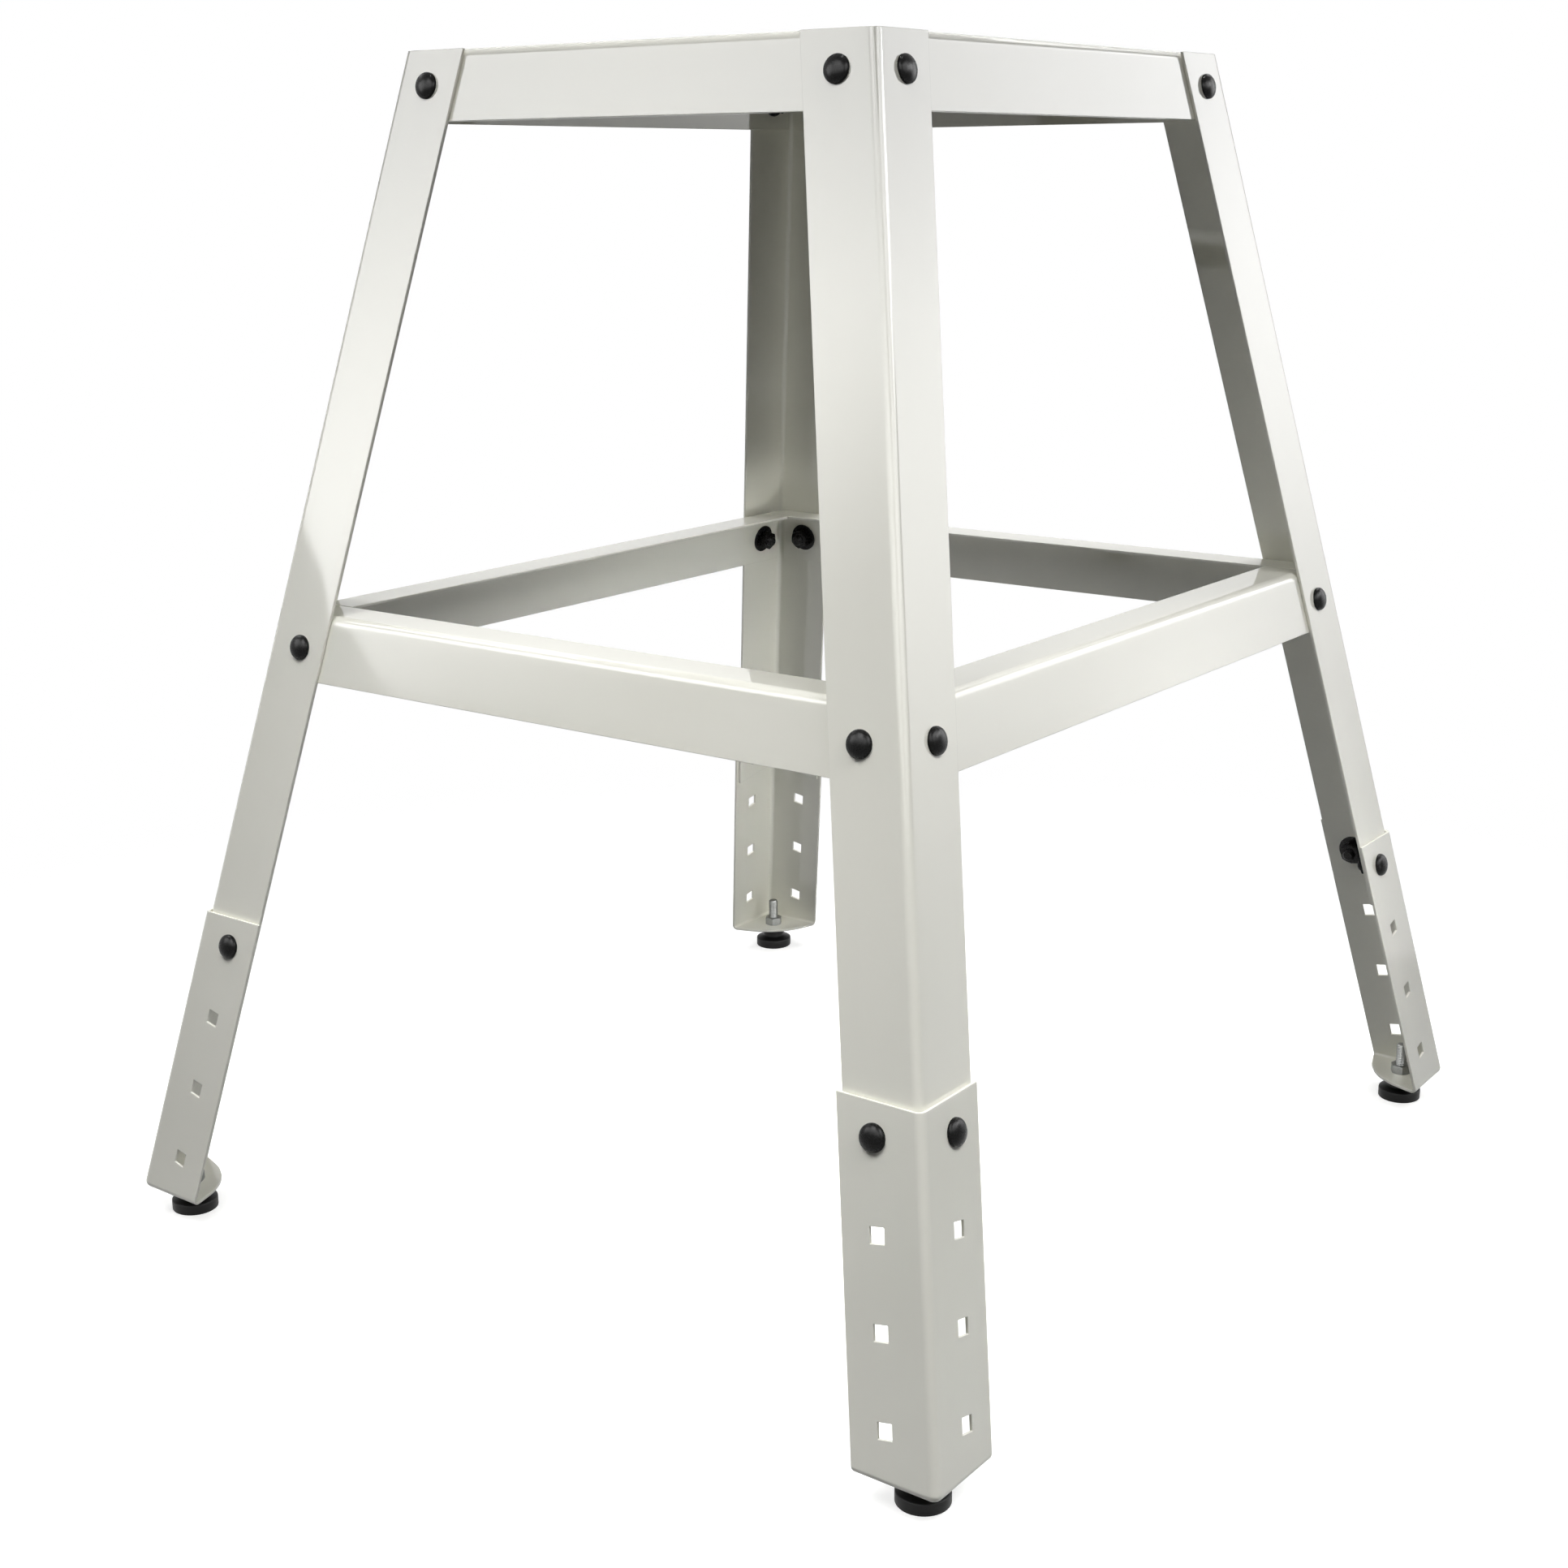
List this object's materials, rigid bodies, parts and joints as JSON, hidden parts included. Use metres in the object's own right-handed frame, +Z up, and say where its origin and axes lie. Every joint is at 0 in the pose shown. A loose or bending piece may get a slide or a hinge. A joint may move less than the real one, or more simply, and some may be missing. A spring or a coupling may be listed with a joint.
{
  "type": "scroll saw stand",
  "caption": "Free-standing splayed steel stand with bent-angle legs, two rings of rails, bolt-on leg extensions and levelling feet, for carrying a scroll saw.",
  "frame": {"origin": "on the floor, midway between the feet", "axes": "+Z up; -Y is the front, the narrower face seen at the left in the picture; +X is the right face"},
  "size_m": [0.6296, 0.6934, 0.7365],
  "materials": {
    "powder_coat": "glossy warm white powder coat",
    "black_hardware": "glossy black plated steel",
    "zinc": "bright zinc plate",
    "black_plastic": "moulded, half matt"
  },
  "bodies": {
    "stand": {"leg_front_left": "powder_coat", "leg_extension_front_left": "powder_coat", "leg_front_right": "powder_coat", "leg_extension_front_right": "powder_coat", "leg_rear_left": "powder_coat", "leg_extension_rear_left": "powder_coat", "leg_rear_right": "powder_coat", "leg_extension_rear_right": "powder_coat", "top_rail_front": "powder_coat", "top_rail_rear": "powder_coat", "top_rail_left": "powder_coat", "top_rail_right": "powder_coat", "lower_rail_front": "powder_coat", "lower_rail_rear": "powder_coat", "lower_rail_left": "powder_coat", "lower_rail_right": "powder_coat", "top_bolt_front_left": "black_hardware", "top_bolt_left_front": "black_hardware", "top_bolt_front_right": "black_hardware", "top_bolt_right_front": "black_hardware", "top_bolt_rear_left": "black_hardware", "top_bolt_left_rear": "black_hardware", "top_bolt_rear_right": "black_hardware", "top_bolt_right_rear": "black_hardware", "lower_bolt_front_left": "black_hardware", "lower_bolt_left_front": "black_hardware", "lower_bolt_front_right": "black_hardware", "lower_bolt_right_front": "black_hardware", "lower_bolt_rear_left": "black_hardware", "lower_bolt_left_rear": "black_hardware", "lower_bolt_rear_right": "black_hardware", "lower_bolt_right_rear": "black_hardware", "extension_bolt_front_left": "black_hardware", "extension_bolt_left_front": "black_hardware", "extension_bolt_front_right": "black_hardware", "extension_bolt_right_front": "black_hardware", "extension_bolt_rear_left": "black_hardware", "extension_bolt_left_rear": "black_hardware", "extension_bolt_rear_right": "black_hardware", "extension_bolt_right_rear": "black_hardware", "foot_nut_front_left": "zinc", "foot_nut_front_right": "zinc", "foot_nut_rear_left": "zinc", "foot_nut_rear_right": "zinc"},
    "foot_pad_front_left": {"foot_pad_front_left": "black_plastic"},
    "foot_stud_front_left": {"foot_stud_front_left": "zinc"},
    "foot_pad_front_right": {"foot_pad_front_right": "black_plastic"},
    "foot_stud_front_right": {"foot_stud_front_right": "zinc"},
    "foot_pad_rear_left": {"foot_pad_rear_left": "black_plastic"},
    "foot_stud_rear_left": {"foot_stud_rear_left": "zinc"},
    "foot_pad_rear_right": {"foot_pad_rear_right": "black_plastic"},
    "foot_stud_rear_right": {"foot_stud_rear_right": "zinc"}
  },
  "joints": [
    {"name": "front_left_foot_lift", "type": "slide", "parent": "stand", "child": "foot_pad_front_left", "axis": [0, 0, -1], "range_m": [0, 0.015]},
    {"name": "front_left_stud_turn", "type": "hinge", "parent": "foot_pad_front_left", "child": "foot_stud_front_left", "pos_m": [-0.29081, -0.32266, 0.02], "axis": [0, 0, -1], "range_deg": [0, 4320]},
    {"name": "front_right_foot_lift", "type": "slide", "parent": "stand", "child": "foot_pad_front_right", "axis": [0, 0, -1], "range_m": [0, 0.015]},
    {"name": "front_right_stud_turn", "type": "hinge", "parent": "foot_pad_front_right", "child": "foot_stud_front_right", "pos_m": [0.29081, -0.32266, 0.02], "axis": [0, 0, -1], "range_deg": [0, 4320]},
    {"name": "rear_left_foot_lift", "type": "slide", "parent": "stand", "child": "foot_pad_rear_left", "axis": [0, 0, -1], "range_m": [0, 0.015]},
    {"name": "rear_left_stud_turn", "type": "hinge", "parent": "foot_pad_rear_left", "child": "foot_stud_rear_left", "pos_m": [-0.29081, 0.32266, 0.02], "axis": [0, 0, -1], "range_deg": [0, 4320]},
    {"name": "rear_right_foot_lift", "type": "slide", "parent": "stand", "child": "foot_pad_rear_right", "axis": [0, 0, -1], "range_m": [0, 0.015]},
    {"name": "rear_right_stud_turn", "type": "hinge", "parent": "foot_pad_rear_right", "child": "foot_stud_rear_right", "pos_m": [0.29081, 0.32266, 0.02], "axis": [0, 0, -1], "range_deg": [0, 4320]}
  ],
  "couplings": [
    {"joint": "front_left_stud_turn", "follows": "front_left_foot_lift", "rad_per_m": 5026.5},
    {"joint": "front_right_stud_turn", "follows": "front_right_foot_lift", "rad_per_m": 5026.5},
    {"joint": "rear_left_stud_turn", "follows": "rear_left_foot_lift", "rad_per_m": 5026.5},
    {"joint": "rear_right_stud_turn", "follows": "rear_right_foot_lift", "rad_per_m": 5026.5}
  ]
}
